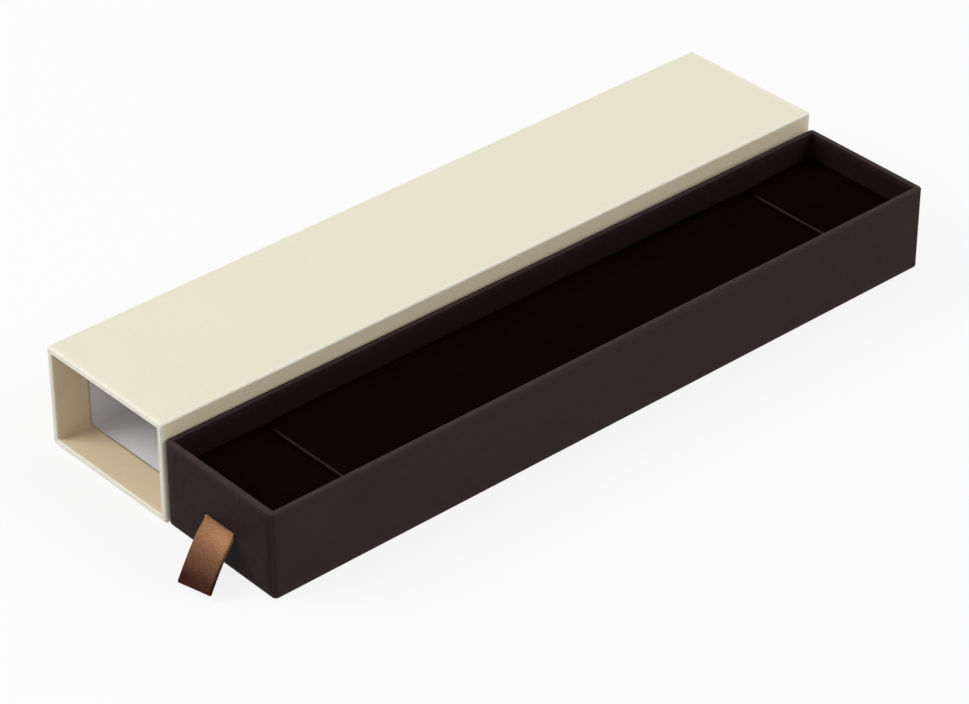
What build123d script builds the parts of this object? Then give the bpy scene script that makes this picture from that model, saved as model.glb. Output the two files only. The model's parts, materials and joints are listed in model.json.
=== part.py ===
from build123d import *
from math import cos, radians, sin
import os

# Rigid paperboard drawer box: a wrapped sleeve open at both ends, and a wrapped tray with a ribbon pull
# and a velvet pad. The tray stands beside the sleeve. Millimetres, +Z up, length along Y, ribbon at -Y.
# The origin is the middle of the sleeve's underside.

# sheet stock
board_thickness = 1.2
wrap_thickness = 0.2
liner_thickness = 0.15
tape_thickness = 0.1
velvet_thickness = 0.5
card_thickness = 1.0
bevel_share = 0.7

# tray, outside
tray_length = 227.0
tray_width = 42.2
tray_height = 25.7
tray_corner_radius = 1.2
tray_foot_radius = 1.0
tray_rim_radius = 0.7
tray_rim_inner_radius = 0.5
tray_turn_in = 12.0
lining_upturn = 3.0
stay_arm = 12.0
stay_end_margin = 2.0

# sleeve
slide_side_clearance = 0.6
slide_height_clearance = 0.35
sleeve_end_margin = 0.5
sleeve_fold_radius = 1.1
sleeve_rim_radius = 0.7
sleeve_rim_inner_radius = 0.5
sleeve_inner_corner_radius = 0.6
sleeve_turn_in = 11.0
liner_end_margin = 1.0
seam_tape_arm = 10.0
lap_edge_inset = 11.0
lap_edge_width = 0.3
lap_edge_depth = 0.08

# velvet pad
pad_side_clearance = 0.3
pad_front_clearance = 1.0
pad_seat_clearance = 0.1
pad_drop_below_rim = 7.0
pad_crown = 0.9
pad_edge_radius = 1.4
slit_inset = 29.0
slit_width = 1.0
slit_depth = 7.0
velvet_turn_under = 8.0

# ribbon
ribbon_width = 12.0
ribbon_ply = 0.4
ribbon_height = 11.4
slot_clearance = 0.2
ribbon_tail_drop = 5.0
patch_side_margin = 3.0
patch_height = 6.0
ribbon_root_gap = 0.45
ribbon_bend_reach = 5.0
ribbon_bend_drop = 1.5
ribbon_bend_shift = 1.6
ribbon_reach = 13.4
ribbon_tip_height = 1.75
ribbon_tip_shift = 5.6
ribbon_tip_roll = 9.0
ribbon_tip_pitch = 44.0
ribbon_bend_pitch = 33.0

# how the tray stands beside the sleeve
tray_gap = 0.3
tray_setback = 0.55
tray_turn = 0.24

# derived sizes
layer = wrap_thickness + tape_thickness
tray_wall = layer + board_thickness + wrap_thickness
cavity_width = tray_width - 2 * tray_wall
cavity_length = tray_length - 2 * tray_wall
board_cavity_width = cavity_width + 2 * wrap_thickness
board_cavity_length = cavity_length + 2 * wrap_thickness
tray_floor_top = layer + board_thickness
sleeve_wall = layer + board_thickness + liner_thickness + wrap_thickness
bore_width = tray_width + 2 * slide_side_clearance
bore_height = tray_height + 2 * slide_height_clearance
sleeve_width = bore_width + 2 * sleeve_wall
sleeve_height = bore_height + 2 * sleeve_wall
sleeve_length = tray_length + 2 * sleeve_end_margin
ribbon_thickness = 2 * ribbon_ply

pad_width = cavity_width - 2 * pad_side_clearance
pad_front = -cavity_length / 2 + pad_front_clearance
pad_rear = cavity_length / 2 - pad_side_clearance
pad_bottom = tray_floor_top + liner_thickness + pad_seat_clearance
pad_top = tray_height - pad_drop_below_rim
front_slit = -tray_length / 2 + slit_inset
rear_slit = tray_length / 2 - slit_inset

turn = radians(tray_turn)
tray_place = Location(
    (
        sleeve_width / 2 + tray_gap + tray_width / 2 * cos(turn) + tray_length / 2 * sin(turn),
        -sleeve_length / 2 + tray_setback + tray_length / 2 * cos(turn) - tray_width / 2 * sin(turn),
        0,
    ),
    (0, 0, -tray_turn),
)


def block(width, length, low, high, x=0.0, y=0.0):
    """Box of a width and length about (x, y), between two heights."""
    return Pos(x, y, (low + high) / 2) * Box(width, length, high - low)


def tube_blank(width, height, length, corner):
    """Rounded bar along Y, centred on the sleeve's axis."""
    section = Plane.XZ * RectangleRounded(width, height, corner)
    return Pos(0, 0, sleeve_height / 2) * extrude(section, length / 2, both=True)


def soften(edges, radius, inset):
    """Rounds the edges of an outer surface. A surface under it is bevelled instead, a little less deep."""
    if inset > 0:
        return chamfer(edges, bevel_share * (radius - inset))
    return fillet(edges, radius)


def end_edges(tube, end, outer):
    """Edges of the outer or the inner loop of a tube's end face."""
    face = tube.faces().sort_by(Axis.Y)[end]
    wires = [face.outer_wire()] if outer else face.inner_wires()
    return ShapeList([edge for wire in wires for edge in wire.edges()])


# ---- sleeve ----

def sleeve_tube(outer_inset, inner_inset, end_inset):
    """The sleeve's wall, set in from its outer, inner and end faces, with rounded mouth edges."""
    length = sleeve_length - 2 * end_inset
    tube = tube_blank(
        sleeve_width - 2 * outer_inset,
        sleeve_height - 2 * outer_inset,
        length,
        sleeve_fold_radius - outer_inset,
    )
    tube -= tube_blank(
        bore_width + 2 * inner_inset,
        bore_height + 2 * inner_inset,
        2 * length,
        sleeve_inner_corner_radius + inner_inset,
    )
    for end in (0, -1):
        tube = soften(end_edges(tube, end, True), sleeve_rim_radius, end_inset)
        tube = soften(end_edges(tube, end, False), sleeve_rim_inner_radius, end_inset)
    return tube


def make_sleeve_boards():
    """Four panels of greyboard, parted on their mitred long edges."""
    tube = sleeve_tube(layer, wrap_thickness + liner_thickness, wrap_thickness)
    half_width = sleeve_width / 2
    half_height = sleeve_height / 2
    depth = min(half_width, half_height) - board_thickness
    inner_width = half_width - depth
    inner_height = half_height - depth
    corners = {
        "top": [(-half_width, half_height), (half_width, half_height),
                (inner_width, inner_height), (-inner_width, inner_height)],
        "bottom": [(-half_width, -half_height), (half_width, -half_height),
                   (inner_width, -inner_height), (-inner_width, -inner_height)],
        "left": [(-half_width, half_height), (-half_width, -half_height),
                 (-inner_width, -inner_height), (-inner_width, inner_height)],
        "right": [(half_width, half_height), (half_width, -half_height),
                  (inner_width, -inner_height), (inner_width, inner_height)],
    }
    boards = {}
    for side, points in corners.items():
        section = Plane.XZ * make_face(Polyline(*points, close=True))
        wedge = Pos(0, 0, half_height) * extrude(section, sleeve_length, both=True)
        boards[f"sleeve_board_{side}"] = tube & wedge
    return boards


def make_sleeve_seam_tape():
    """L-shaped tape round the closing corner, at the lower left long edge."""
    length = sleeve_length - 2 * sleeve_rim_radius
    skin = tube_blank(
        sleeve_width - 2 * wrap_thickness,
        sleeve_height - 2 * wrap_thickness,
        length,
        sleeve_fold_radius - wrap_thickness,
    )
    skin -= tube_blank(
        sleeve_width - 2 * layer,
        sleeve_height - 2 * layer,
        2 * length,
        sleeve_fold_radius - layer,
    )
    corner = block(2 * seam_tape_arm, length, -seam_tape_arm, seam_tape_arm, x=-sleeve_width / 2)
    return skin & corner


def make_sleeve_wrap():
    """Cream paper: the outer skin, the mouth edges and the bands turned in behind them."""
    wrap = sleeve_tube(0, 0, 0) - sleeve_tube(wrap_thickness, wrap_thickness, wrap_thickness)
    middle = tube_blank(
        bore_width + 2 * wrap_thickness,
        bore_height + 2 * wrap_thickness,
        sleeve_length - 2 * sleeve_turn_in,
        sleeve_inner_corner_radius + wrap_thickness,
    )
    wrap -= middle
    lap_edge = block(
        lap_edge_width,
        2 * sleeve_length,
        -lap_edge_depth,
        lap_edge_depth,
        x=-sleeve_width / 2 + lap_edge_inset,
    )
    return wrap - lap_edge


def make_sleeve_liner():
    """White lining paper inside the board tube, under the turned-in bands."""
    length = sleeve_length - 2 * liner_end_margin
    inner = wrap_thickness
    outer = wrap_thickness + liner_thickness
    liner = tube_blank(
        bore_width + 2 * outer, bore_height + 2 * outer, length, sleeve_inner_corner_radius + outer
    )
    return liner - tube_blank(
        bore_width + 2 * inner, bore_height + 2 * inner, 2 * length, sleeve_inner_corner_radius + inner
    )


# ---- tray ----

def tray_blank(inset):
    """The tray's outer form as a solid block, set in on every side, with rounded corners and foot."""
    blank = block(tray_width - 2 * inset, tray_length - 2 * inset, inset, tray_height - inset)
    blank = soften(blank.edges().filter_by(Axis.Z), tray_corner_radius, inset)
    return soften(blank.faces().sort_by(Axis.Z)[0].edges(), tray_foot_radius, inset)


def round_rim(walls, inset):
    """Walls with the outer and inner edges of their rim rounded."""
    rim = walls.faces().sort_by(Axis.Z)[-1]
    walls = soften(rim.outer_wire().edges(), tray_rim_radius, inset)
    rim = walls.faces().sort_by(Axis.Z)[-1]
    return soften(rim.inner_wires()[0].edges(), tray_rim_inner_radius, inset)


def rim_block(inset):
    """The tray's form with a pocket as deep as the turned-in paper, and a rounded rim."""
    pocket = block(
        cavity_width + 2 * inset,
        cavity_length + 2 * inset,
        tray_height - tray_turn_in,
        2 * tray_height,
    )
    return round_rim(tray_blank(inset) - pocket, inset)


def slot_cutter():
    """The die-cut slot's volume, through the front wall."""
    width = ribbon_width + 2 * slot_clearance
    height = ribbon_thickness + 2 * slot_clearance
    return block(
        width,
        4 * tray_wall,
        ribbon_height - height / 2,
        ribbon_height + height / 2,
        y=-tray_length / 2,
    )


def make_tray_boards():
    """Floor and four walls of greyboard. The side walls run the full length."""
    ring = tray_blank(layer) - block(board_cavity_width, board_cavity_length, 0, 2 * tray_height)
    ring = round_rim(ring, wrap_thickness)
    reach = 2 * tray_width
    side = block(reach, tray_length, 0, tray_height, x=board_cavity_width / 2 + reach / 2)
    end = block(board_cavity_width, reach, 0, tray_height, y=board_cavity_length / 2 + reach / 2)
    other_side = mirror(side, Plane.YZ)
    other_end = mirror(end, Plane.XZ)
    return {
        "tray_board_base": block(board_cavity_width, board_cavity_length, layer, tray_floor_top),
        "tray_board_front": (ring & other_end) - slot_cutter(),
        "tray_board_rear": ring & end,
        "tray_board_left": ring & other_side,
        "tray_board_right": ring & side,
    }


def make_tray_stays():
    """Four paper stays, one bent round each upright corner of the board."""
    skin = tray_blank(wrap_thickness) - tray_blank(layer)
    low = tray_foot_radius
    high = tray_height - stay_end_margin
    stays = {}
    for end, y_sign in (("front", -1), ("rear", 1)):
        for side, x_sign in (("left", -1), ("right", 1)):
            corner = block(
                2 * stay_arm, 2 * stay_arm, low, high, x=x_sign * tray_width / 2, y=y_sign * tray_length / 2
            )
            stays[f"tray_stay_{end}_{side}"] = skin & corner
    return stays


def make_tray_wrap():
    """Dark brown paper: floor, walls, the fold over the rim and the band inside it."""
    return rim_block(0) - rim_block(wrap_thickness) - slot_cutter()


def make_tray_lining():
    """Sheet on the tray's floor with short upturned edges."""
    sheet = block(board_cavity_width, board_cavity_length, tray_floor_top, tray_floor_top + lining_upturn)
    return sheet - block(
        board_cavity_width - 2 * liner_thickness,
        board_cavity_length - 2 * liner_thickness,
        tray_floor_top + liner_thickness,
        tray_height,
    )


# ---- ribbon ----

def make_ribbon_tail():
    """The ribbon's glued ends: through the slot, then down the inside of the front wall."""
    wall_inside = -board_cavity_length / 2
    low = ribbon_height - ribbon_thickness / 2
    high = ribbon_height + ribbon_thickness / 2
    length = wall_inside + tray_length / 2
    through = block(ribbon_width, length, low, high, y=wall_inside - length / 2)
    down = block(
        ribbon_width, ribbon_thickness, low - ribbon_tail_drop, high, y=wall_inside + ribbon_thickness / 2
    )
    return through + down


def make_ribbon_patch():
    """Gummed patch over the ribbon's ends."""
    middle = ribbon_height - patch_height / 2
    return block(
        ribbon_width + 2 * patch_side_margin,
        tape_thickness,
        middle - patch_height / 2,
        middle + patch_height / 2,
        y=-board_cavity_length / 2 + ribbon_thickness + tape_thickness / 2,
    )


def ribbon_section(shift, reach, height, pitch, roll):
    """Cross-section of the doubled ribbon at a point of its droop, square to its run."""
    place = Location((shift, -tray_length / 2 - reach, height)) * Rot(X=pitch) * Rot(Y=-roll)
    return place * (Plane.XZ * Rectangle(ribbon_width, ribbon_thickness))


def make_ribbon_pull():
    """The free loop, drooping from the slot and lying over to the right, with a folded end."""
    sections = [
        ribbon_section(0, ribbon_root_gap, ribbon_height, 0, 0),
        ribbon_section(
            ribbon_bend_shift,
            ribbon_bend_reach,
            ribbon_height - ribbon_bend_drop,
            ribbon_bend_pitch,
            ribbon_tip_roll / 2,
        ),
        ribbon_section(
            ribbon_tip_shift, ribbon_reach, ribbon_tip_height, ribbon_tip_pitch, ribbon_tip_roll
        ),
    ]
    return loft(sections)


# ---- velvet pad ----

def pad_block(inset, low):
    """The pad's form, set in from the velvet's outside: crowned between the slits, long edges rounded."""
    front = pad_front + inset
    rear = pad_rear - inset
    top = pad_top - inset
    edge = top - pad_crown
    fields = [front, front_slit, rear_slit, rear]
    outline = [Line((rear, edge), (rear, low)), Line((rear, low), (front, low)), Line((front, low), (front, edge))]
    for start, end in zip(fields, fields[1:]):
        outline.append(ThreePointArc((start, edge), ((start + end) / 2, top), (end, edge)))
    side_view = Plane.YZ * make_face(Curve(children=outline).edges())
    width = pad_width - 2 * inset
    crowned = extrude(side_view, width / 2, both=True)
    end_view = Plane.XZ * (Pos(0, (low + top) / 2) * Rectangle(width, top - low))
    bar = extrude(end_view, tray_length, both=True)
    bar = fillet(bar.edges().filter_by(Axis.Y).sort_by(Axis.Z)[-2:], pad_edge_radius - inset)
    return crowned & bar


def slit_cutters(margin):
    """Both slits' volumes, grown by a margin on their sides and floor."""
    low = pad_top - slit_depth - margin
    width = slit_width + 2 * margin
    return [block(2 * pad_width, width, low, tray_height, y=place) for place in (front_slit, rear_slit)]


def make_pad():
    """Backing card, slit foam and the velvet over both, turned under the card."""
    card_low = pad_bottom + velvet_thickness
    card_high = card_low + card_thickness
    inside = pad_block(velvet_thickness, card_low)
    for cutter in slit_cutters(velvet_thickness):
        inside -= cutter
    velvet = pad_block(0, pad_bottom) - inside
    for cutter in slit_cutters(0):
        velvet -= cutter
    velvet -= block(
        pad_width - 2 * velvet_turn_under,
        pad_rear - pad_front - 2 * velvet_turn_under,
        0,
        card_low,
        y=(pad_front + pad_rear) / 2,
    )
    split = block(2 * pad_width, 2 * tray_length, card_high, tray_height)
    return {
        "insert_board": inside - split,
        "insert_foam": inside & split,
        "insert_velvet": velvet,
    }


def make_parts():
    """Every node: the sleeve's at their place, the tray's moved to stand beside it."""
    parts = {
        **make_sleeve_boards(),
        "sleeve_seam_tape": make_sleeve_seam_tape(),
        "sleeve_wrap": make_sleeve_wrap(),
        "sleeve_liner": make_sleeve_liner(),
    }
    tray_parts = {
        **make_tray_boards(),
        **make_tray_stays(),
        "tray_wrap": make_tray_wrap(),
        "tray_lining": make_tray_lining(),
        "ribbon_tail": make_ribbon_tail(),
        "ribbon_patch": make_ribbon_patch(),
        "ribbon_pull": make_ribbon_pull(),
        **make_pad(),
    }
    for name, solid in tray_parts.items():
        parts[name] = tray_place * solid
    return parts


os.makedirs("parts", exist_ok=True)
for node, shape in make_parts().items():
    export_step(shape, f"parts/{node}.step")
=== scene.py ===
import json

import bmesh
import bpy
import numpy as np
from mathutils import Matrix, Vector


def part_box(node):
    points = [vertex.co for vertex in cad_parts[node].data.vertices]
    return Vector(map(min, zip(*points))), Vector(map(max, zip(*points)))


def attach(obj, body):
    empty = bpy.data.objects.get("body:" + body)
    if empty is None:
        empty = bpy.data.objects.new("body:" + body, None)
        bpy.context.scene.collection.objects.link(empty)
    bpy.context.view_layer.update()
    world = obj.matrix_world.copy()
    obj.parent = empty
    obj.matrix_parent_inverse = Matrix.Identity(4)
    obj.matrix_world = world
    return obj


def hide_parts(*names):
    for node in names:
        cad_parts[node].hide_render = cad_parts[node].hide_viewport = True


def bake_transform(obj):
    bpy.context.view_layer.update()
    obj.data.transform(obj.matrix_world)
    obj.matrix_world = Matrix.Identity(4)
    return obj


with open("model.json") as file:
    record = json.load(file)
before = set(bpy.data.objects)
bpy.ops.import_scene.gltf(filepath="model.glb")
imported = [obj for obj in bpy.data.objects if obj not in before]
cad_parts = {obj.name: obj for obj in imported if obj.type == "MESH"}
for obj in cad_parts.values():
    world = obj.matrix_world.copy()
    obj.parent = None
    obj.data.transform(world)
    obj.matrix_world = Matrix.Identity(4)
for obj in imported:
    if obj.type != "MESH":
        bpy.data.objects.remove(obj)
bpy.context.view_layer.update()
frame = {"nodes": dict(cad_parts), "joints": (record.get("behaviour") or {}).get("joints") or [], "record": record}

mm = 0.001
hair = 0.0001 * mm  # two places closer than this are the same place
nodes = frame["nodes"]
mounts = {m["name"]: m for m in frame["record"]["mounts"]}
joints = {j["name"]: j for j in frame["joints"]}
scene = bpy.context.scene
print("frame loaded:", len(nodes), "nodes")


# the tray stands a little turned beside the sleeve: its own axes come from the joint it slides on
trayForward = -np.array(joints["tray_slide"]["axis"], float)
trayRight = np.array([trayForward[1], -trayForward[0], 0.0])
trayUp = np.array([0.0, 0.0, 1.0])
trayOrigin = np.array(mounts["tray_base"]["pos_m"], float)


# tray coordinates to the shared frame: origin + x * right + y * forward + z * up
def toRow(p):
    p = np.asarray(p, float)
    return trayOrigin + p[..., :1] * trayRight + p[..., 1:2] * trayForward + p[..., 2:] * trayUp


# lowest and highest corner of a node in the tray's own axes
def trayBox(node):
    co = np.array([v.co for v in nodes[node].data.vertices]) - trayOrigin
    local = np.stack([co @ trayRight, co @ trayForward, co[:, 2]], 1)
    return local.min(0), local.max(0)


# A grid of points, rows u and columns v, as one quad mesh. Each quad joins (u, v), (u+1, v), (u+1, v+1) and
# (u, v+1). keep says which quads stay. shares are values at the points for the materials: the pale share of rubs
# and painted highlights, and the share of painted shade.
def gridPiece(name, points, closeU=False, keep=None, uv=None, **shares):
    nu, nv = points.shape[:2]
    index = np.arange(nu * nv).reshape(nu, nv)
    a = index if closeU else index[:-1]
    b = np.roll(index, -1, 0) if closeU else index[1:]
    quads = np.stack([a[:, :-1], b[:, :-1], b[:, 1:], a[:, 1:]], -1)
    if keep is not None:
        quads = quads[keep]
    quads = quads.reshape(-1, 4)
    mesh = bpy.data.meshes.new(name)
    mesh.vertices.add(nu * nv)
    mesh.vertices.foreach_set("co", points.reshape(-1).astype(np.float32))
    mesh.loops.add(quads.size)
    mesh.loops.foreach_set("vertex_index", quads.reshape(-1))
    mesh.polygons.add(len(quads))
    mesh.polygons.foreach_set("loop_start", np.arange(0, quads.size, 4))
    mesh.polygons.foreach_set("loop_total", np.full(len(quads), 4))
    mesh.polygons.foreach_set("use_smooth", np.ones(len(quads), bool))
    for share, values in shares.items():
        layer = mesh.attributes.new(share, "FLOAT", "POINT")
        layer.data.foreach_set("value", np.broadcast_to(values, (nu, nv)).reshape(-1).astype(np.float32))
    if uv is not None:
        layer = mesh.uv_layers.new(name="UVMap")
        flat = uv.reshape(-1, 2)[quads.reshape(-1)]
        layer.data.foreach_set("uv", flat.reshape(-1).astype(np.float32))
    mesh.update(calc_edges=True)
    mesh.validate()
    piece = bpy.data.objects.new(name, mesh)
    scene.collection.objects.link(piece)
    return piece


# merges the points that fall together, and turns the faces outwards
def weld(piece, distance=0.001 * mm):
    work = bmesh.new()
    work.from_mesh(piece.data)
    bmesh.ops.remove_doubles(work, verts=work.verts, dist=distance)
    bmesh.ops.dissolve_degenerate(work, edges=work.edges, dist=distance)
    bmesh.ops.recalc_face_normals(work, faces=work.faces)
    work.to_mesh(piece.data)
    work.free()


# paper or cloth thickness: offset -1 lays it inwards from the modelled side, 0 to both sides
def thicken(piece, thickness, offset=-1):
    solid = piece.modifiers.new("thickness", "SOLIDIFY")
    solid.thickness = thickness
    solid.offset = offset
    solid.use_even_offset = False


# evenly spaced values: with ease above 0 they crowd towards both ends along a cosine
def spread(low, high, count, ease=0.0):
    t = np.linspace(0, 1, count)
    eased = (1 - np.cos(np.pi * t)) / 2
    return low + (high - low) * ((1 - ease) * t + ease * eased)


# 0 up to start, then evenly up to 1 over the run
def ramp(value, start, run):
    return np.clip((value - start) / run, 0, 1)


# a bell curve: exp of minus (distance / width) squared
def bell(distance, width):
    return np.exp(-(distance / width) ** 2)


# the parts of a profile laid end to end: each is a tuple with an array or a single value for each column
def joined(*parts):
    return np.concatenate([np.stack(np.broadcast_arrays(*part)) for part in parts], 1)


# steps of a quarter turn
def quarter(steps):
    return np.linspace(0, np.pi / 2, steps + 1)


# A rounded rectangle's plan as columns (a, b, cx, cy): a point is core * (a, b) + radius * (cx, cy).
# alongX and alongY hold the shares, from -1 to 1, at which the straight sides have points.
def loop(alongX, alongY, cornerSteps):
    theta = quarter(cornerSteps)
    right = np.pi / 2
    sides = [(alongX, -1, 0, -1), (1, alongY, 1, 0), (alongX[::-1], 1, 0, 1), (-1, alongY[::-1], -1, 0)]
    corners = [(1, -1, theta - right), (1, 1, theta), (-1, 1, theta + right), (-1, -1, theta + 2 * right)]
    parts = []
    for side, (a, b, turn) in zip(sides, corners):
        parts += [side, (a, b, np.cos(turn), np.sin(turn))]
    return [column[:, None] for column in joined(*parts)]


# a smooth uneven field from -1 to 1: a sum of sine waves of about one size, in seeded directions and phases
def ripple(x, y, size, seed, waves=9, shortest=0.7, longest=1.8, gain=1.6):
    rng = np.random.default_rng(seed)
    angle = rng.uniform(0, np.pi, waves)
    phase = rng.uniform(0, 2 * np.pi, waves)
    rate = 2 * np.pi / (size * rng.uniform(shortest, longest, waves))
    across = x[..., None] * np.cos(angle) + y[..., None] * np.sin(angle)
    return np.sin(across * rate + phase).sum(-1) / waves * gain


# display colour to linear, per channel
def srgb(colour):
    c = np.asarray(colour, float)
    return tuple(np.where(c <= 0.04045, c / 12.92, ((c + 0.055) / 1.055) ** 2.4)) + (1.0,)


# the same colour at a share of its strength
def shaded(colour, share):
    return srgb([c * share for c in colour])


# a node tree, with short ways to add nodes and wires
class NodeTree:
    def __init__(self, owner):
        owner.use_nodes = True
        self.tree = owner.node_tree

    def node(self, kind, **values):
        made = self.tree.nodes.new("ShaderNode" + kind)
        for key, value in values.items():
            if hasattr(made, key):
                setattr(made, key, value)
            else:
                made.inputs[key.replace("_", " ")].default_value = value
        return made

    def wire(self, source, target):
        self.tree.links.new(source, target)

    def remap(self, value, fromLow, fromHigh, low=0, high=1):
        made = self.node("MapRange", From_Min=fromLow, From_Max=fromHigh, To_Min=low, To_Max=high)
        self.wire(value, made.inputs["Value"])
        return made.outputs["Result"]

    def maths(self, operation, a, b):
        made = self.node("Math", operation=operation)
        for socket, value in zip(made.inputs, (a, b)):
            if isinstance(value, (int, float)):
                socket.default_value = value
            else:
                self.wire(value, socket)
        return made.outputs["Value"]

    # 1 for what the camera, a reflection or a clear material sees, 0 for light
    def seenShare(self):
        rays = self.node("LightPath").outputs
        seen = self.maths("MAXIMUM", rays["Is Camera Ray"], rays["Is Glossy Ray"])
        return self.maths("MAXIMUM", seen, rays["Is Transmission Ray"])


# a material's nodes
class Finish(NodeTree):
    def __init__(self, name, rough, specular):
        self.material = bpy.data.materials.new(name)
        super().__init__(self.material)
        self.shader = self.tree.nodes["Principled BSDF"]
        self.shader.inputs["Roughness"].default_value = rough
        self.shader.inputs["Specular IOR Level"].default_value = specular
        self.coordinates = self.node("TexCoord")

    # Object or UV coordinates, stretched for one pattern
    def place(self, stretch=(1, 1, 1), source="Object"):
        mapping = self.node("Mapping", Scale=stretch)
        self.wire(self.coordinates.outputs[source], mapping.inputs["Vector"])
        return mapping.outputs["Vector"]

    # scale and stretch are in waves per metre
    def noise(self, scale, detail=3.0, rough=0.5, stretch=(1, 1, 1), source="Object"):
        made = self.node("TexNoise", Scale=scale, Detail=detail, Roughness=rough)
        self.wire(self.place(stretch, source), made.inputs["Vector"])
        return made.outputs["Fac"]

    # patches of a noise: low where it is under fromLow, high where it is over fromHigh
    def patches(self, pattern, fromLow=0.3, fromHigh=0.7, low=0, high=1):
        return self.remap(self.noise(*pattern), fromLow, fromHigh, low, high)

    def blend(self, factor, first, second):
        made = self.node("Mix", data_type="RGBA")
        self.wire(factor, made.inputs["Factor"])
        for name, value in (("A", first), ("B", second)):
            socket = [s for s in made.inputs if s.name == name and s.type == "RGBA"][0]
            if isinstance(value, tuple):
                socket.default_value = value
            else:
                self.wire(value, socket)
        return [s for s in made.outputs if s.type == "RGBA"][0]

    def attribute(self, name):
        return self.node("Attribute", attribute_name=name).outputs["Fac"]

    def bump(self, height, strength, distance, under=None):
        made = self.node("Bump", Strength=strength, Distance=distance)
        self.wire(height, made.inputs["Height"])
        if under is not None:
            self.wire(under, made.inputs["Normal"])
        return made.outputs["Normal"]

    def dress(self, tone, normal):
        self.wire(tone, self.shader.inputs["Base Color"])
        self.wire(normal, self.shader.inputs["Normal"])
        return self.material


# a pattern is a noise: scale per metre, detail, roughness, stretch, and coordinates if they aren't Object
paper = dict(
    clouds=(38, 4),
    fibres=(1500, 2, 0.6, (1, 0.5, 1)),
    rubs=(420, 5, 0.65),
    gloss=(700, 3),
    glossBelow=0.06,  # how far the roughness wanders
    glossAbove=0.08,
    felt=(2300, 4, 0.6),
    feltDepth=0.03 * mm,
    swell=(160, 3),
    swellDepth=0.09 * mm,
)


# wrapping paper: cloudy tone, felted grain, a few fibres, the inner tone as painted shade on the turned-in band
# and the shaded sides, and a paler tone on the folds and rims, part rub and part painted highlight
def paperFinish(name, colour, mottle, paleTone, rough, foldWear=0.0, specular=0.35, fibres=0.2, inner=None):
    f = Finish(name, rough, specular)
    tone = f.blend(f.patches(paper["clouds"]), srgb(colour), srgb(mottle))
    if inner is not None:
        # painted shade: the inner tone where the shade share says
        tone = f.blend(f.attribute("band"), tone, srgb(inner))
    tone = f.blend(f.patches(paper["fibres"], 0.42, 0.75, 0, fibres), tone, srgb(paleTone))
    # the pale tone on folds and rims: part rub, part painted highlight
    rubAndHighlight = f.maths("MULTIPLY", f.attribute("fold"), f.patches(paper["rubs"], 0.3, 0.65, 0.35, 1))
    tone = f.blend(f.maths("MULTIPLY", rubAndHighlight, foldWear), tone, srgb(paleTone))
    gloss = f.patches(paper["gloss"], low=rough - paper["glossBelow"], high=rough + paper["glossAbove"])
    f.wire(gloss, f.shader.inputs["Roughness"])
    felt = f.bump(f.noise(*paper["felt"]), 0.5, paper["feltDepth"])
    return f.dress(tone, f.bump(f.noise(*paper["swell"]), 0.35, paper["swellDepth"], felt))


board = dict(
    clouds=(120, 5, 0.6),
    mottle=0.88,
    specks=(1900, 2, 0.5, (1, 0.4, 1)),
    flecks=(1300, 2, 0.5, (0.4, 1, 1)),
    speckShare=0.8,
    fibre=(1400, 5, 0.65),
    fibreDepth=0.06 * mm,
)


# recycled grey board: mixed fibres, dark and pale specks, a dusty matt surface
def boardFinish(name, colour, dark, pale):
    f = Finish(name, rough=0.92, specular=0.2)
    tone = f.blend(f.patches(board["clouds"]), srgb(colour), shaded(colour, board["mottle"]))
    tone = f.blend(f.patches(board["specks"], 0.62, 0.7, 0, board["speckShare"]), tone, srgb(dark))
    tone = f.blend(f.patches(board["flecks"], 0.64, 0.72, 0, board["speckShare"]), tone, srgb(pale))
    return f.dress(tone, f.bump(f.noise(*board["fibre"]), 0.6, board["fibreDepth"]))


tape = dict(laidLines=900, laidDepth=0.02 * mm, clouds=(260, 4), mottle=0.84)


# gummed kraft tape: fine laid lines and cloudy tone
def tapeFinish(name, colour):
    f = Finish(name, rough=0.75, specular=0.3)
    laid = f.node(
        "TexWave", wave_type="BANDS", bands_direction="Z", Scale=tape["laidLines"], Distortion=1.5, Detail=2
    )
    f.wire(f.place(), laid.inputs["Vector"])
    tone = f.blend(f.patches(tape["clouds"]), srgb(colour), shaded(colour, tape["mottle"]))
    return f.dress(tone, f.bump(laid.outputs["Fac"], 0.3, tape["laidDepth"]))


velvet = dict(
    nap=(55, 4, 0.55, (1, 0.35, 1)),
    pile=(4200, 3, 0.6),
    pileDepth=0.12 * mm,
    pileShade=0.45,
    sheen=0.003,
    sheenRough=0.4,
    sheenTint=(0.45, 0.34, 0.30),
)


# short pile velvet: soft brushed patches, fine upright pile, and a painted highlight along a slit's far lip
def velvetFinish(name, colour, brushed, lipHighlight):
    f = Finish(name, rough=0.9, specular=0.0)
    tone = f.blend(f.patches(velvet["nap"], 0.35, 0.68), srgb(colour), srgb(brushed))
    pile = f.noise(*velvet["pile"])
    tone = f.blend(f.remap(pile, 0.3, 0.7, 0, 0.5), tone, shaded(colour, velvet["pileShade"]))
    # painted highlight: paler pile along a slit's far lip
    lip = f.maths("MULTIPLY", f.attribute("fold"), f.remap(pile, 0.3, 0.7, 0.45, 0.75))
    tone = f.blend(lip, tone, srgb(lipHighlight))
    f.shader.inputs["Sheen Weight"].default_value = velvet["sheen"]
    f.shader.inputs["Sheen Roughness"].default_value = velvet["sheenRough"]
    f.shader.inputs["Sheen Tint"].default_value = srgb(velvet["sheenTint"])
    return f.dress(tone, f.bump(pile, 0.8, velvet["pileDepth"]))


satin = dict(
    floats=(1, 3, 0.65, (3400, 1500, 1), "UV"),
    floatDepth=0.05 * mm,
    weftLines=1150,
    weftDepth=0.03 * mm,
    clouds=(1, 3, 0.55, (420, 300, 1), "UV"),
    glossiest=0.38,
    dullest=0.54,
    anisotropy=0.5,
)
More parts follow.
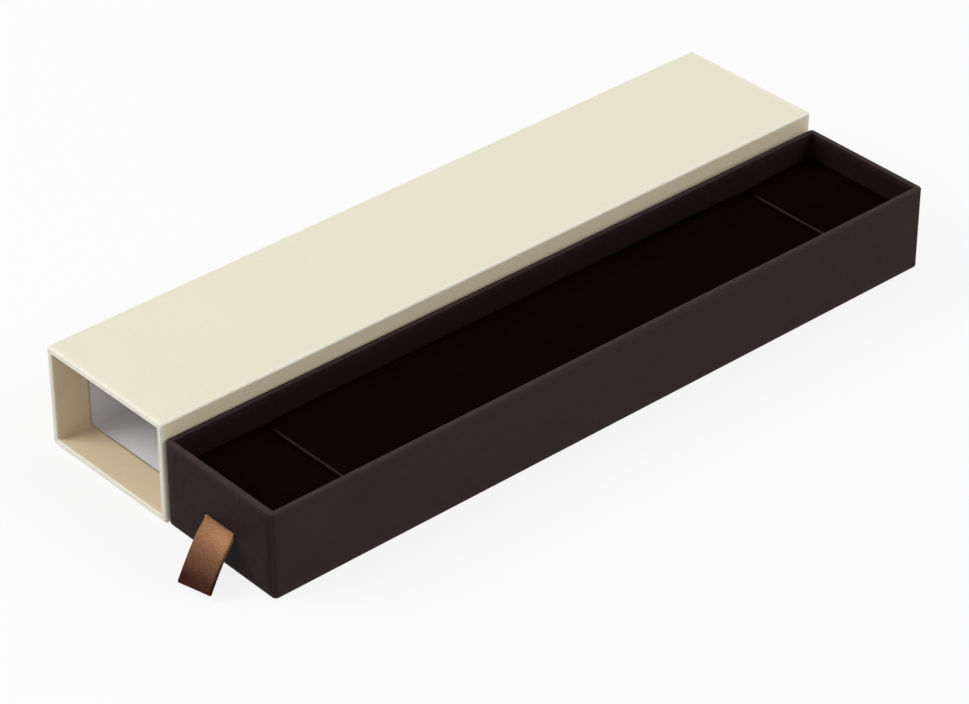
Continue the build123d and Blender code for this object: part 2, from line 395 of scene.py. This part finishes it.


# satin ribbon: speckled floats, weft lines across, a painted highlight on the reach below the slot and painted
# shade on the tip
def satinFinish(name, colour, grain, deep, bright):
    f = Finish(name, rough=0.46, specular=0.04)
    floats = f.noise(*satin["floats"])
    weft = f.node(
        "TexWave", wave_type="BANDS", bands_direction="Y", Scale=satin["weftLines"], Distortion=0.6, Detail=1
    )
    f.wire(f.place(source="UV"), weft.inputs["Vector"])
    tone = f.blend(f.remap(floats, 0.36, 0.64), srgb(grain), srgb(colour))
    # painted highlight below the slot, then painted shade on the tip
    shine = f.maths("MULTIPLY", f.attribute("fold"), f.remap(floats, 0.3, 0.6, 0.5, 1))
    tone = f.blend(shine, tone, srgb(bright))
    tone = f.blend(f.attribute("band"), tone, srgb(deep))
    f.shader.inputs["Anisotropic"].default_value = satin["anisotropy"]
    gloss = f.patches(satin["clouds"], low=satin["glossiest"], high=satin["dullest"])
    f.wire(gloss, f.shader.inputs["Roughness"])
    threads = f.bump(floats, 0.6, satin["floatDepth"])
    return f.dress(tone, f.bump(weft.outputs["Fac"], 0.4, satin["weftDepth"], threads))


foam = dict(pores=1500, poreDepth=0.2 * mm, poreShade=0.5)


# open-cell foam: round pores
def foamFinish(name, colour):
    f = Finish(name, rough=0.95, specular=0.15)
    cells = f.node("TexVoronoi", Scale=foam["pores"])
    f.wire(f.place(), cells.inputs["Vector"])
    distance = cells.outputs["Distance"]
    tone = f.blend(f.remap(distance, 0.1, 0.6, 1, 0), srgb(colour), shaded(colour, foam["poreShade"]))
    return f.dress(tone, f.bump(distance, 0.9, foam["poreDepth"]))


# the inner tone is painted shade, warmer where less light reaches: the turned-in band and the sides
creamPaper = paperFinish(
    "creamPaper", (0.902, 0.876, 0.786), (0.896, 0.868, 0.774), (0.962, 0.950, 0.905), 0.42,
    foldWear=0.75, fibres=0.12, inner=(0.912, 0.834, 0.697),
)
whitePaper = paperFinish("whitePaper", (0.93, 0.93, 0.94), (0.90, 0.90, 0.92), (0.97, 0.97, 0.97), 0.6)
# the inner tone is painted shade: darker inside the tray and on its end faces
brownPaper = paperFinish(
    "brownPaper", (0.213, 0.162, 0.160), (0.203, 0.154, 0.152), (0.33, 0.28, 0.27), 0.5,
    foldWear=0.3, specular=0.03, fibres=0.05, inner=(0.140, 0.090, 0.085),
)
brownLining = paperFinish("brownLining", (0.13, 0.105, 0.10), (0.12, 0.095, 0.09), (0.2, 0.17, 0.16), 0.7)
greyBoard = boardFinish("greyBoard", (0.56, 0.54, 0.50), (0.30, 0.28, 0.26), (0.74, 0.72, 0.68))
padCard = boardFinish("padCard", (0.50, 0.46, 0.40), (0.30, 0.26, 0.22), (0.66, 0.62, 0.55))
gummedTape = tapeFinish("gummedTape", (0.72, 0.60, 0.44))
# the last colour is the painted highlight on a slit's far lip
darkVelvet = velvetFinish("darkVelvet", (0.060, 0.022, 0.018), (0.078, 0.036, 0.030), (0.27, 0.245, 0.24))
# bright is a painted highlight below the slot, deep is painted shade on the tip
copperSatin = satinFinish(
    "copperSatin", (0.59, 0.41, 0.30), (0.42, 0.28, 0.20), (0.19, 0.05, 0.01), (0.80, 0.59, 0.42)
)
padFoam = foamFinish("padFoam", (0.085, 0.075, 0.072))
print("materials made")


# bare boards, tapes and linings stay as in the CAD: each finish goes to the nodes whose names start so
cadFinishes = {
    "sleeve_board": greyBoard,
    "sleeve_seam_tape": gummedTape,
    "sleeve_liner": whitePaper,
    "tray_board": greyBoard,
    "tray_stay": gummedTape,
    "tray_lining": brownLining,
    "ribbon_patch": gummedTape,
    "insert_board": padCard,
    "insert_foam": padFoam,
}
for name, node in nodes.items():
    for start, finish in cadFinishes.items():
        if name.startswith(start):
            node.data.materials.clear()
            node.data.materials.append(finish)
print("boards, tapes and linings finished")


sleeveWrap = dict(
    foldRadius=0.7 * mm,  # long outer edges
    innerRadius=0.6 * mm,
    wall=1.85 * mm,
    turnIn=11.0 * mm,
    rimRadius=0.7 * mm,
    rimInnerRadius=0.5 * mm,
    rimHollow=0.11 * mm,
    paper=0.2 * mm,
    lapPlace=-12.55 * mm,  # edge of the lap, underneath
    lapStep=0.07 * mm,
    lapEdge=0.12 * mm,
    sinking=0.06 * mm,  # of the sides between their folds
    sinkingSize=60 * mm,
    sinkingSeed=5,
    groove=0.06 * mm,  # the paper draws in beside the long folds
    groovePlace=1.2 * mm,
    groovePitch=0.45 * mm,
    grooveFrom=0.7 * mm,  # from the mouth
    grooveRun=1.2 * mm,
    rimRubAndHighlight=1.1 * mm,
    bandFrom=0.3 * mm,  # the band's painted shade starts this far in from the mouth
    bandRun=0.6 * mm,
    # painted shade on the sides, as this share of the inner tone
    paintedSideShade=0.7,
    cornerSteps=8,
    rimSteps=7,
    bandRows=8,
    mouthRows=np.array([0.9, 1.3, 1.8, 2.4, 3.2]) * mm,
    bodyFrom=4.2 * mm,
    bodyRows=70,
    topColumns=spread(-0.8, 0.8, 20),  # shares of the flat between two folds
    sideColumns=spread(-0.7, 0.7, 12),
    besideFold=np.array([0.15, 0.35, 0.6, 0.85, 1.05, 1.2, 1.35, 1.6, 1.9, 2.3, 3.0]) * mm,
)


# The paper's way round a board's edge as (depth, distance from the mouth): in along the inside, a quarter
# circle, the edge with a cosine hollow, a quarter circle, and out along the outside.
def mouthPath(s):
    wall, outer, inner = s["wall"], s["rimRadius"], s["rimInnerRadius"]
    phi = quarter(s["rimSteps"])
    t = np.linspace(0, 1, s["rimSteps"] + 1)[1:-1]
    hollow = s["rimHollow"] * (1 - np.cos(2 * np.pi * t)) / 2
    return joined(
        (wall, spread(s["turnIn"], inner, s["bandRows"], ease=0.8)[:-1]),
        (wall - inner + inner * np.cos(phi), inner - inner * np.sin(phi)),
        (wall - inner + (outer - wall + inner) * t, hollow),
        (outer - outer * np.sin(phi), outer - outer * np.cos(phi)),
    )


# One sheet round the tube. Depth k and place y follow the mouth path at both ends. Round the tube it is a
# rounded rectangle, (half - k - radius) * (a, b) + radius * (cx, cz), whose radius changes evenly with k.
# sink is how far the paper stands in: a little on the sides, beside the folds, and past the lap's edge.
def makeSleeveWrap(s):
    low, high = (np.array(c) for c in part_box("sleeve_wrap"))
    half = (high - low) / 2
    middle = (high + low) / 2
    core = half - s["foldRadius"]

    depth, distance = mouthPath(s)
    body = spread(low[1] + s["bodyFrom"], high[1] - s["bodyFrom"], s["bodyRows"], ease=0.5)
    body = np.concatenate([low[1] + s["mouthRows"], body, high[1] - s["mouthRows"][::-1]])
    k, y = joined((depth, low[1] + distance), (0, body), (depth[::-1], high[1] - distance[::-1]))
    share = k / s["wall"]
    outside = np.clip(1 - share * 3, 0, 1)  # 0 from a third of the wall's depth

    lap = s["lapPlace"] / core[0]
    edge = s["lapEdge"] / half[0]
    byX = 1 - s["besideFold"] / core[0]
    byZ = 1 - s["besideFold"] / core[2]
    alongX = np.unique(np.concatenate([s["topColumns"], byX, -byX, [lap - edge, lap, lap + edge]]))
    alongZ = np.unique(np.concatenate([s["sideColumns"], byZ, -byZ]))
    a, b, cx, cz = loop(alongX, alongZ, s["cornerSteps"])
    radius = s["foldRadius"] * (1 - share) + s["innerRadius"] * share
    x = a * (half[0] - k - radius) + radius * cx
    z = b * (half[2] - k - radius) + radius * cz
    y = np.broadcast_to(y, x.shape)

    toMouth = np.minimum(y - low[1], high[1] - y)
    onFlat = np.abs(cz) > 0.99
    onSide = np.abs(a) > 0.999
    uneven = 0.6 + 0.4 * ripple(x, y, s["sinkingSize"], s["sinkingSeed"])
    sink = s["sinking"] * outside * (1 - b ** 2) * onSide * uneven
    bead = bell((1 - np.abs(a)) * core[0] - s["groovePlace"], s["groovePitch"]) * onFlat
    sink = sink + s["groove"] * bead * outside * ramp(toMouth, s["grooveFrom"], s["grooveRun"])
    pastLap = ramp(x, s["lapPlace"] - s["lapEdge"] / 2, s["lapEdge"])
    sink = sink + s["lapStep"] * (cz < -0.99) * outside * pastLap
    x = x - sink * cx
    z = z - sink * cz

    # pale share: the mouth's rims and the long folds, part rub and part painted highlight. Shade share: painted
    # shade, the inner tone over the turned-in band and on the sides
    rim = bell(toMouth, s["rimRubAndHighlight"]) * (k < s["wall"] * 0.99)
    bend = np.abs(cx * cz) > 0.02
    band = ramp(share, 0.9, 0.1) * ramp(toMouth, s["bandFrom"], s["bandRun"])
    paintedSideShade = s["paintedSideShade"] * cx ** 4 * outside * ramp(toMouth, s["bandFrom"], mm)
    piece = gridPiece(
        "sleeveWrapPaper", np.stack([x + middle[0], y, z + middle[2]], -1), closeU=True,
        fold=np.maximum(rim, bend * outside), band=np.maximum(band, paintedSideShade),
    )
    weld(piece)
    thicken(piece, s["paper"])
    piece.data.materials.append(creamPaper)
    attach(piece, "sleeve")
    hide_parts("sleeve_wrap")


makeSleeveWrap(sleeveWrap)
print("sleeve wrap made")


trayWrap = dict(
    cornerRadius=1.2 * mm,
    footRadius=1.0 * mm,
    wall=1.7 * mm,
    turnIn=12.0 * mm,
    rimRadius=0.7 * mm,
    rimInnerRadius=0.5 * mm,
    cavityRadius=0.25 * mm,
    paper=0.2 * mm,
    slotHalfWidth=5.65 * mm,
    slotLow=10.8 * mm,
    slotHigh=12.0 * mm,
    flapInset=1.32 * mm,  # the end flap's edge stands this far in from the upright corner
    flapStep=0.12 * mm,
    flapEdge=0.12 * mm,
    bow=0.12 * mm,  # of the long walls' tops, inwards
    fadeIn=2.0 * mm,  # above the foot, over which the bow and the flap's step begin
    rimRubAndHighlight=0.55 * mm,
    footWear=0.8 * mm,
    cornerWear=0.15,
    sleeveShadowShare=0.4,  # painted shade: the side facing the sleeve, in its shadow, keeps this share of the pale rim
    bandRun=0.6 * mm,
    # painted shade on the end faces, as this share of the inner tone
    paintedEndShade=0.72,
    paintedEndShadeFrom=0.35 * mm,  # below the rim
    cornerSteps=8,
    rimSteps=7,
    baseRows=9,
    wallRows=16,
    bandRows=6,
    endColumns=spread(-0.9, 0.9, 17),  # shares of the flat between two corners
    sideColumns=spread(-0.99, 0.99, 60),
)


# Depth k and height z up the tray's wall: the base, the foot's quarter circle, the wall, the rim's two
# quarter circles, and down the band inside.
def trayProfile(t, height, halfWidth):
    phi = quarter(t["rimSteps"])
    foot, outer, inner = t["footRadius"], t["rimRadius"], t["rimInnerRadius"]
    wall = np.concatenate([spread(foot, height - outer, t["wallRows"]), [t["slotLow"], t["slotHigh"]]])
    return joined(
        (spread(halfWidth, foot, t["baseRows"])[:-1], 0),
        (foot - foot * np.sin(phi), foot - foot * np.cos(phi)),
        (0, np.unique(wall)[1:-1]),
        (outer - outer * np.cos(phi), height - outer + outer * np.sin(phi)),
        (t["wall"] - inner + inner * np.sin(phi), height - inner + inner * np.cos(phi)),
        (t["wall"], spread(height - inner, height - t["turnIn"], t["bandRows"])[1:]),
    )


# One sheet up the outside, over the rim and down inside. The plan is a rounded rectangle set in by k:
# (half - k - radius) * (a, b) + radius * (cx, cy). On the end faces the sheet steps in near the upright
# corners, where the side's tab lies under the end flap. The long walls bow in along a squared cosine that
# grows evenly with the height.
def makeTrayWrap(t):
    low, high = trayBox("tray_wrap")
    half = (high - low) / 2
    k, z = trayProfile(t, high[2], half[0])
    foot = t["footRadius"]
    onWall = k < hair
    toRim = high[2] - z

    # the corner's radius shrinks to nothing over the base, and to the cavity's own over the rim
    rimShare = np.clip(1 - k / t["wall"], 0, 1)
    radius = t["cavityRadius"] + (t["cornerRadius"] - t["cavityRadius"]) * rimShare
    radius = np.where(z < foot, t["cornerRadius"], radius)
    onBase = (z < foot / 2) & (k >= foot - hair)
    radius = np.where(onBase, t["cornerRadius"] * (1 - ramp(k, foot, half[0] - foot)), radius)

    core = half[0] - t["cornerRadius"]
    slot = t["slotHalfWidth"] / core
    lap = (half[0] - t["flapInset"]) / core
    step = t["flapEdge"] / 2 / core
    marks = [-slot, slot, -lap - step, -lap + step, lap - step, lap + step]
    a, b, cx, cy = loop(np.unique([*t["endColumns"], *marks]), t["sideColumns"], t["cornerSteps"])
    x = a * (half[0] - k - radius) + radius * cx
    y = b * (half[1] - k - radius) + radius * cy

    wallPart = ramp(z, foot, t["fadeIn"]) * onWall
    inCorner = ramp(np.abs(x), half[0] - t["flapInset"] - t["flapEdge"] / 2, t["flapEdge"])
    sink = t["flapStep"] * (np.abs(cy) > 0.5) * inCorner * wallPart * np.abs(cy)
    bow = np.cos(np.pi * y / (2 * half[1])) ** 2 * z / high[2]
    sink = sink + t["bow"] * (np.abs(cx) > 0.99) * wallPart * bow
    x = x - sink * cx
    y = y - sink * cy

    # pale share: the rim, the foot and the corners, paler as rub, and on the rim part painted highlight, less on
    # the side in the sleeve's shadow. Shade share: painted shade, the inner tone inside and on the end faces
    rim = bell(toRim, t["rimRubAndHighlight"])
    footRub = bell(z, t["footWear"]) * (k < foot + hair)
    bend = (np.abs(cx * cy) > 0.02) * t["cornerWear"] * onWall
    fold = np.maximum(np.maximum(rim, footRub), bend) * np.where(cx < -0.9, t["sleeveShadowShare"], 1.0)
    band = ramp(k / t["wall"], 0.9, 0.1) * (z > foot) * ramp(toRim, 0, t["bandRun"])
    paintedEndShade = t["paintedEndShade"] * cy ** 4 * onWall * ramp(toRim, t["paintedEndShadeFrom"], mm)

    # the quads inside the ribbon's slot are left out
    onFront = (b == -1) & (np.roll(b, -1, 0) == -1) & (cy < -0.99)
    inSlotX = (a > -slot - hair) & (np.roll(a, -1, 0) < slot + hair)
    inSlotZ = (z[:-1] > t["slotLow"] - hair) & (z[1:] < t["slotHigh"] + hair) & onWall[:-1]
    piece = gridPiece(
        "trayWrapPaper", toRow(np.stack(np.broadcast_arrays(x, y, z), -1)), closeU=True,
        keep=~(onFront & inSlotX & inSlotZ), fold=fold, band=np.maximum(band, paintedEndShade),
    )
    weld(piece)
    thicken(piece, t["paper"])
    piece.data.materials.append(brownPaper)
    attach(piece, "tray")
    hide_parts("tray_wrap")


makeTrayWrap(trayWrap)
print("tray wrap made")


pad = dict(
    edgeRadius=1.5 * mm,
    slitInset=29.0 * mm,  # from the tray's end to the slit
    slitHalf=0.45 * mm,
    slitDepth=6.5 * mm,
    slitRows=np.array([0.75, 0.9, 1]),  # shares of the slit's half width
    lip=0.9 * mm,
    lipRows=np.array([0.08, 0.16, 0.24, 0.32, 0.41, 0.5, 0.6, 0.72, 0.9]) * mm,
    linePlace=0.80 * mm,  # painted highlight on the far lip
    lineWidth=0.16 * mm,
    lineEnd=3.4 * mm,  # the line fades out towards the pad's long edges
    lineFade=3.0 * mm,
    dip=0.55 * mm,  # how far the velvet is drawn down at a slit
    dipReach=6.0 * mm,
    endDrop=0.2 * mm,
    crossDip=0.08 * mm,  # towards the long edges
    fineReach=6.0 * mm,  # close rows on both sides of a slit
    turnUnder=8.0 * mm,
    underGap=0.4 * mm,
    sideShares=np.array([0.13, 0.26, 0.39, 0.52, 0.65, 0.78, 0.90]),  # rows up the sides and ends
    velvet=0.4 * mm,
    unevenness=0.10 * mm,
    unevenSize=22 * mm,
    unevenSeed=11,
    weldReach=0.002 * mm,
    arcSteps=6,
    underColumns=4,
    topColumns=26,
    topRows=110,
    fineRows=31,
    fineGap=0.2 * mm,
)


# Across the pad as (x, share of the height, drop): from the turned-under edge, out, up the side, round a
# quarter circle and over the top, then the same way down, mirrored.
def padSection(p, halfWidth):
    phi = quarter(p["arcSteps"])
    r = p["edgeRadius"]
    left = joined(
        (spread(-halfWidth + p["turnUnder"], -halfWidth + p["underGap"], p["underColumns"]), 0, r),
        (-halfWidth, p["sideShares"], r),
        (-halfWidth + r - r * np.cos(phi), 1, r - r * np.sin(phi)),
    )
    top = joined((spread(-halfWidth + r, halfWidth - r, p["topColumns"])[1:-1], 1, 0))
    right = left[:, ::-1] * np.array([[-1], [1], [1]])
    return [row[:, None] for row in np.concatenate([left, top, right], 1)]


# Along the pad as (y, share of the height, drop): up the end, round a quarter circle, over the top with
# close rows at the slits, and down the other end.
def padRows(p, low, high, slits):
    phi = quarter(p["arcSteps"])[:-1]
    r = p["edgeRadius"]
    inSlit = p["slitRows"] * p["slitHalf"]
    byLip = p["slitHalf"] + p["lipRows"]
    fine = spread(-p["fineReach"], p["fineReach"], p["fineRows"])
    near = np.concatenate([fine, inSlit, -inSlit, byLip, -byLip])
    body = spread(low + r, high - r, p["topRows"])
    far = np.abs(body[:, None] - slits).min(1) > p["fineReach"] + p["fineGap"]
    rows = np.unique(np.concatenate([body[far], (slits[:, None] + near).ravel()]))
    rise = np.concatenate([[0.0], p["sideShares"]])
    arc, drop = r - r * np.cos(phi), r - r * np.sin(phi)
    return joined(
        (low, rise, r),
        (low + arc, 1, drop),
        (rows, 1, 0),
        (high - arc[::-1], 1, drop[::-1]),
        (high, rise[::-1], r),
    )


# The velvet's outside. Its height over (x, y) is the pad's, less an exponential dip towards each slit and
# end, less the slit's own narrow trench with rounded lips. The ends close by rows that sink to the base.
def makePad(p):
    low, high = trayBox("insert_velvet")
    trayLow, trayHigh = trayBox("tray_wrap")
    halfWidth = (high[0] - low[0]) / 2
    centre = (high[0] + low[0]) / 2
    slits = np.array([trayLow[1] + p["slitInset"], trayHigh[1] - p["slitInset"]])
    x, share, drop = padSection(p, halfWidth)
    y, whole, rounding = padRows(p, low[1], high[1], slits)

    away = np.abs(y[:, None] - slits).min(1)
    toEnd = np.minimum(y - low[1], high[1] - y)
    dip = p["dip"] * np.exp(-away / p["dipReach"]) + p["endDrop"] * np.exp(-toEnd / p["dipReach"])
    lip = 1 - ramp(away, p["slitHalf"], p["lip"])
    lipDrop = p["lip"] * (1 - np.sqrt(1 - lip ** 2))
    trench = np.where(away < p["slitHalf"] * 0.8, p["slitDepth"], lipDrop)
    crossDip = p["crossDip"] * (np.abs(x) / halfWidth) ** 4
    onTop = share >= 1
    uneven = p["unevenness"] * (ripple(x, y, p["unevenSize"], p["unevenSeed"]) - 0.6) * onTop
    top = high[2] - low[2] - dip - trench - rounding - crossDip + uneven
    z = np.maximum(share * (top - drop), 0) * whole

    # painted highlight along each slit's far lip, fading towards the long edges
    farLipHighlight = bell(y[:, None] - slits - p["linePlace"], p["lineWidth"]).max(1) * (trench < 2 * p["lip"])
    edgeFade = ramp(halfWidth - np.abs(x), p["lineEnd"], p["lineFade"])

    # the side's rows and the end's meet at the corners, where the quads between them are left out
    full = whole >= 1
    keep = (onTop[:-1] & onTop[1:]) | (full[:-1] & full[1:])
    points = np.stack(np.broadcast_arrays(x + centre, y, z + low[2]), -1)
    uv = np.stack(np.broadcast_arrays(x, y), -1)
    piece = gridPiece("velvetPad", toRow(points), keep=keep, fold=farLipHighlight * edgeFade, uv=uv)
    weld(piece, p["weldReach"])
    thicken(piece, p["velvet"])
    piece.data.materials.append(darkVelvet)
    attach(piece, "insert")
    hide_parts("insert_velvet")


makePad(pad)
print("velvet pad made")


ribbon = dict(
    width=11.6 * mm,
    ply=0.32 * mm,
    thickness=0.256 * mm,  # of the cloth in one ply
    height=11.4 * mm,  # of the slot's middle
    inside=1.9 * mm,  # how far the ends are followed behind the front face
    bend=np.array([0.3, -1.2, 11.5]) * mm,  # pulls the curve level out of the slot
    tip=np.array([5.35, -12.4, 1.7]) * mm,
    straightness=0.42,
    tipAcross=np.array([11.2, 0.8, 1.9]) * mm,
    gapAtTip=0.75 * mm,
    flex=1.4 * mm,
    cup=0.28 * mm,
    squeeze=0.06,  # how much narrower the gathered strap leaves the slot
    squeezeReach=0.4,  # reaches are shares of the way from the slot to the tip
    curl=0.8 * mm,  # its edges turned down just outside the slot
    curlReach=0.7,
    wave=0.10 * mm,
    waveSize=9 * mm,
    waveSeed=3,
    waveWidth=6 * mm,  # half the strap and its length, as the waves see them
    waveLength=18 * mm,
    shineReach=0.25,  # the painted highlight below the slot and the painted shade on the tip
    shineWidth=0.28,
    shadeReach=0.33,
    shadeRun=0.58,
    behindRows=6,
    lineRows=44,
    turnSteps=12,
    columns=25,
)


# The middle line as (points, reach): straight out from behind the slot, then a cubic curve to the tip,
# (1-t)^3 mouth + 3 (1-t)^2 t first + 3 (1-t) t^2 second + t^3 end.
def ribbonLine(r, onFace):
    mouth = onFace + np.array([0, 0, r["height"]])
    first = onFace + r["bend"]
    end = onFace + r["tip"]
    second = end + r["straightness"] * (first - end)
    t = np.linspace(0, 1, r["lineRows"])[:, None]
    line = (1 - t) ** 3 * mouth + 3 * (1 - t) ** 2 * t * first + 3 * (1 - t) * t ** 2 * second + t ** 3 * end
    behind = mouth + np.array([0, 1, 0]) * spread(r["inside"], 0, r["behindRows"])[:-1, None]
    return np.concatenate([behind, line]), np.concatenate([np.zeros((len(behind), 1)), t])


# each vector at length 1
def unit(vectors):
    return vectors / np.linalg.norm(vectors, axis=-1, keepdims=True)


# A doubled strap. Two plies stand off the middle line by a gap that opens towards the folded tip, and meet
# there in a half circle. Across, at share s from -1 to 1, it is cupped as s squared, and just outside the
# slot its edges curl down as s to the fourth.
def makeRibbon(r):
    face = -(trayBox("tray_wrap")[1][1])
    line, t = ribbonLine(r, np.array([0, face, 0]))
    tangent = unit(np.gradient(line, axis=0))
    turnShare = t ** 0.8
    across = unit((1 - turnShare) * np.array([1, 0, 0]) + turnShare * unit(r["tipAcross"]))
    normal = unit(np.cross(across, tangent))
    normal *= np.sign(normal[:, 2:3])
    gap = r["ply"] / 2 + (r["gapAtTip"] / 2 - r["ply"] / 2) * ramp(t, 0, 0.8) ** 1.5

    phi = np.linspace(0, np.pi, r["turnSteps"] + 1)[1:-1, None]
    turn = line[-1] + gap[-1] * (np.cos(phi) * normal[-1] + np.sin(phi) * tangent[-1])
    path = np.concatenate([line + normal * gap, turn, (line - normal * gap)[::-1]])
    side, lift, reach = (
        np.concatenate([column, np.repeat(column[-1:], len(phi), 0), column[::-1]])[:, None]
        for column in (across, normal, t)
    )
    s = spread(-1, 1, r["columns"])[:, None]
    wave = ripple(s[:, 0] * r["waveWidth"], reach[..., 0] * r["waveLength"], r["waveSize"], r["waveSeed"])
    curl = np.sin(np.pi * ramp(reach, 0, r["curlReach"]) ** 0.5) ** 2
    rise = r["wave"] * wave[..., None] * ramp(reach, 0.2, 1 / 3)
    rise = rise - r["cup"] * (s ** 2 - 0.4) * ramp(reach, 0.125, 0.5) - r["curl"] * curl * s ** 4
    width = r["width"] * (1 - r["squeeze"] * (1 - ramp(reach, 0, r["squeezeReach"])) ** 2)
    points = path[:, None] + s * side * width / 2 + rise * lift

    steps = np.linalg.norm(np.diff(path, axis=0), axis=1)
    run = np.concatenate([[0], np.cumsum(steps)])
    uv = np.stack(np.meshgrid(run, (s[:, 0] + 1) / 2 * r["width"], indexing="ij")[::-1], -1)
    # painted shade on the tip and a painted highlight on the reach below the slot
    shade = ramp(reach, r["shadeReach"], r["shadeRun"]) ** 1.6 * (0.94 - 0.06 * s)
    shine = bell(reach - r["shineReach"], r["shineWidth"]) * (0.65 + 0.35 * s)
    piece = gridPiece("ribbonStrap", toRow(points), uv=uv, fold=shine[..., 0], band=shade[..., 0])
    thicken(piece, r["thickness"], offset=0)
    piece.data.materials.append(copperSatin)
    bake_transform(piece)
    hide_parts("ribbon_pull", "ribbon_tail")
    print("ribbon length", round(float(run[-1]) / mm, 1), "mm")


makeRibbon(ribbon)
print("ribbon made")


stage = dict(floorSize=12.0, seenGlow=0.85, lightGlow=0.38, floorTone=0.12, worldTone=0.50, seenTone=0.965)
photoView = dict(
    place=(0.6357, -0.55476, 0.55481), aim=(0.03558, -0.01843, 0.0150), roll=-0.0221, lens=139.036,
)
keyLamp = dict(toward=(-0.50, -0.62, 0.68), distance=2.4, size=1.3, power=32.0)
backLamp = dict(toward=(0.62, 0.50, 0.58), distance=2.4, size=1.0, power=19.0)


# a plain pale floor that reads white to the camera and still takes the object's shadow
def makeFloor(s):
    half = s["floorSize"] / 2
    corners = np.array([[[-half, -half, 0], [-half, half, 0]], [[half, -half, 0], [half, half, 0]]], float)
    floor = gridPiece("floor", corners)
    f = Finish("floorPaper", rough=0.9, specular=0.0)
    f.shader.inputs["Base Color"].default_value = (s["floorTone"],) * 3 + (1,)
    f.shader.inputs["Emission Color"].default_value = (1, 1, 1, 1)
    glow = f.remap(f.seenShare(), 0, 1, s["lightGlow"], s["seenGlow"])
    f.wire(glow, f.shader.inputs["Emission Strength"])
    floor.data.materials.append(f.material)


# white to the camera, and a plain even light to the object
def makeWorld(s):
    scene.world = bpy.data.worlds.new("studio")
    w = NodeTree(scene.world)
    background = w.tree.nodes["Background"]
    background.inputs["Color"].default_value = (1, 1, 1, 1)
    w.wire(w.remap(w.seenShare(), 0, 1, s["worldTone"], s["seenTone"]), background.inputs["Strength"])


# looks from place to aim, then rolls about its own axis
def makeCamera(c):
    camera = bpy.data.objects.new("camera", bpy.data.cameras.new("camera"))
    scene.collection.objects.link(camera)
    scene.camera = camera
    camera.data.lens = c["lens"]
    camera.data.clip_start = 0.05
    camera.data.clip_end = 50
    look = (Vector(c["aim"]) - Vector(c["place"])).to_track_quat("-Z", "Y").to_matrix()
    look = look @ Matrix.Rotation(np.radians(c["roll"]), 3, "Z")
    camera.matrix_world = Matrix.Translation(c["place"]) @ look.to_4x4()


# a square lamp that looks back at the camera's aim
def makeLamp(name, k):
    lamp = bpy.data.objects.new(name, bpy.data.lights.new(name, "AREA"))
    scene.collection.objects.link(lamp)
    away = Vector(k["toward"]).normalized() * k["distance"]
    lamp.location = Vector(photoView["aim"]) + away
    lamp.rotation_euler = (-away).to_track_quat("-Z", "Y").to_euler()
    lamp.data.size = k["size"]
    lamp.data.energy = k["power"]


makeFloor(stage)
makeWorld(stage)
makeCamera(photoView)
makeLamp("keyLamp", keyLamp)
makeLamp("backLamp", backLamp)
scene.view_settings.view_transform = "Standard"
print("stage, camera and light made")
